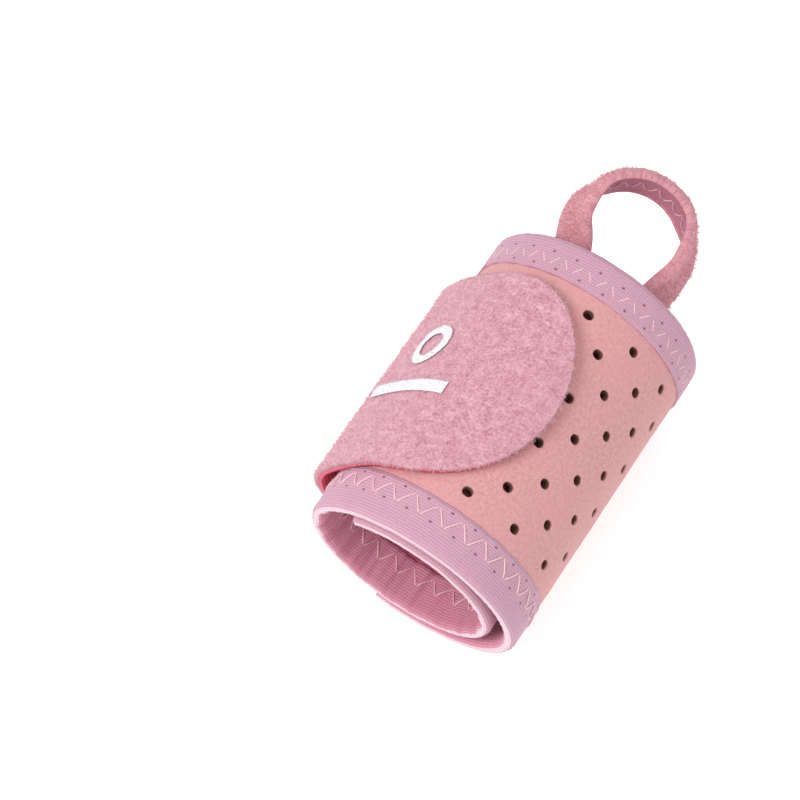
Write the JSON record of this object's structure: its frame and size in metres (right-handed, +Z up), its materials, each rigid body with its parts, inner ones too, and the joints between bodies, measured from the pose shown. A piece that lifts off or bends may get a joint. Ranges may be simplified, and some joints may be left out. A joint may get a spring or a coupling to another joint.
{
  "type": "wrist support brace",
  "caption": "Rolled wrist support wrap of perforated foam laminate with elastic-bound edges, a hook-and-loop closure tab with a rounded nose, and a thumb loop.",
  "frame": {"origin": "centre of the underside of the bounding box of the rolled brace", "axes": "+Y along the roll axis towards the thumb loop, +Z up, +X away from the closure tab's fold"},
  "size_m": [0.0612, 0.1096, 0.0579],
  "materials": {
    "brushed_laminate": "brushed knit over foam, matt, perforated",
    "elastic_binding": "woven elastic tape, fine ribs",
    "tab_felt": "looped pile, speckled",
    "tab_hook": "fine hook tape, bright",
    "loop_plush": "short plush",
    "print_film": "heat-pressed film"
  },
  "bodies": {
    "wrap_1": {"wrap_panel_1": "brushed_laminate", "near_binding_1": "elastic_binding", "far_binding_1": "elastic_binding", "thumb_loop_left_end": "loop_plush", "thumb_loop_right_end": "loop_plush"},
    "wrap_2": {"wrap_panel_2": "brushed_laminate", "near_binding_2": "elastic_binding", "far_binding_2": "elastic_binding"},
    "wrap_3": {"wrap_panel_3": "brushed_laminate", "near_binding_3": "elastic_binding", "far_binding_3": "elastic_binding"},
    "wrap_4": {"wrap_panel_4": "brushed_laminate", "near_binding_4": "elastic_binding", "far_binding_4": "elastic_binding"},
    "wrap_5": {"wrap_panel_5": "brushed_laminate", "near_binding_5": "elastic_binding", "far_binding_5": "elastic_binding"},
    "wrap_6": {"wrap_panel_6": "brushed_laminate", "near_binding_6": "elastic_binding", "far_binding_6": "elastic_binding"},
    "wrap_7": {"wrap_panel_7": "brushed_laminate", "near_binding_7": "elastic_binding", "far_binding_7": "elastic_binding"},
    "wrap_8": {"wrap_panel_8": "brushed_laminate", "near_binding_8": "elastic_binding", "far_binding_8": "elastic_binding"},
    "wrap_9": {"wrap_panel_9": "brushed_laminate", "near_binding_9": "elastic_binding", "far_binding_9": "elastic_binding", "tab_sewn_end": "tab_felt"},
    "tab_1": {"tab_felt_1": "tab_felt", "tab_hook_1": "tab_hook"},
    "tab_2": {"tab_felt_2": "tab_felt", "tab_hook_2": "tab_hook"},
    "tab_3": {"tab_felt_3": "tab_felt", "tab_hook_3": "tab_hook", "tab_mark": "print_film"},
    "tab_4": {"tab_felt_4": "tab_felt", "tab_hook_4": "tab_hook"},
    "thumb_loop": {"thumb_loop_cover": "loop_plush", "thumb_loop_tape": "elastic_binding"}
  },
  "joints": [
    {"name": "unroll", "type": "hinge", "parent": "wrap_9", "child": "wrap_8", "pos_m": [0.0221, -0.01482, 0.00772], "axis": [0, 1, 0], "range_deg": [0, 63.75]},
    {"name": "unroll_wrap_7", "type": "hinge", "parent": "wrap_8", "child": "wrap_7", "pos_m": [0.02934, -0.01482, 0.03597], "axis": [0, 1, 0], "range_deg": [0, 63.76]},
    {"name": "unroll_wrap_6", "type": "hinge", "parent": "wrap_7", "child": "wrap_6", "pos_m": [0.00738, -0.01482, 0.05481], "axis": [0, 1, 0], "range_deg": [0, 63.76]},
    {"name": "unroll_wrap_5", "type": "hinge", "parent": "wrap_6", "child": "wrap_5", "pos_m": [-0.01867, -0.01482, 0.04369], "axis": [0, 1, 0], "range_deg": [0, 63.76]},
    {"name": "unroll_wrap_4", "type": "hinge", "parent": "wrap_5", "child": "wrap_4", "pos_m": [-0.02015, -0.01482, 0.01649], "axis": [0, 1, 0], "range_deg": [0, 63.76]},
    {"name": "unroll_wrap_3", "type": "hinge", "parent": "wrap_4", "child": "wrap_3", "pos_m": [0.00241, -0.01482, 0.00379], "axis": [0, 1, 0], "range_deg": [0, 63.76]},
    {"name": "unroll_wrap_2", "type": "hinge", "parent": "wrap_3", "child": "wrap_2", "pos_m": [0.02227, -0.01482, 0.01738], "axis": [0, 1, 0], "range_deg": [0, 63.76]},
    {"name": "unroll_wrap_1", "type": "hinge", "parent": "wrap_2", "child": "wrap_1", "pos_m": [0.0189, -0.01482, 0.041], "axis": [0, 1, 0], "range_deg": [0, 75.39]},
    {"name": "unroll_tab_1", "type": "hinge", "parent": "wrap_9", "child": "tab_1", "pos_m": [-0.00664, -0.01482, 0.00168], "axis": [0, -1, 0], "range_deg": [0, 43.88]},
    {"name": "unroll_tab_2", "type": "hinge", "parent": "tab_1", "child": "tab_2", "pos_m": [-0.0252, -0.01482, 0.01385], "axis": [0, -1, 0], "range_deg": [0, 42.01]},
    {"name": "unroll_tab_3", "type": "hinge", "parent": "tab_2", "child": "tab_3", "pos_m": [-0.03009, -0.01482, 0.03089], "axis": [0, -1, 0], "range_deg": [0, 60.01]},
    {"name": "tab_peel", "type": "hinge", "parent": "tab_3", "child": "tab_4", "pos_m": [-0.00511, -0.01482, 0.05676], "axis": [0, 1, 0], "range_deg": [-60, 0]},
    {"name": "thumb_loop_swing", "type": "hinge", "parent": "wrap_1", "child": "thumb_loop", "pos_m": [0.00488, 0.02618, 0.04023], "axis": [0.9744, 0, -0.225], "range_deg": [-40, 40]}
  ],
  "couplings": [
    {"joint": "unroll_wrap_7", "follows": "unroll", "ratio": 1},
    {"joint": "unroll_wrap_6", "follows": "unroll", "ratio": 1},
    {"joint": "unroll_wrap_5", "follows": "unroll", "ratio": 1},
    {"joint": "unroll_wrap_4", "follows": "unroll", "ratio": 1},
    {"joint": "unroll_wrap_3", "follows": "unroll", "ratio": 1},
    {"joint": "unroll_wrap_2", "follows": "unroll", "ratio": 1},
    {"joint": "unroll_wrap_1", "follows": "unroll", "ratio": 1.1824},
    {"joint": "unroll_tab_1", "follows": "unroll", "ratio": 0.68824},
    {"joint": "unroll_tab_2", "follows": "unroll", "ratio": 0.65882},
    {"joint": "unroll_tab_3", "follows": "unroll", "ratio": 0.94118}
  ]
}
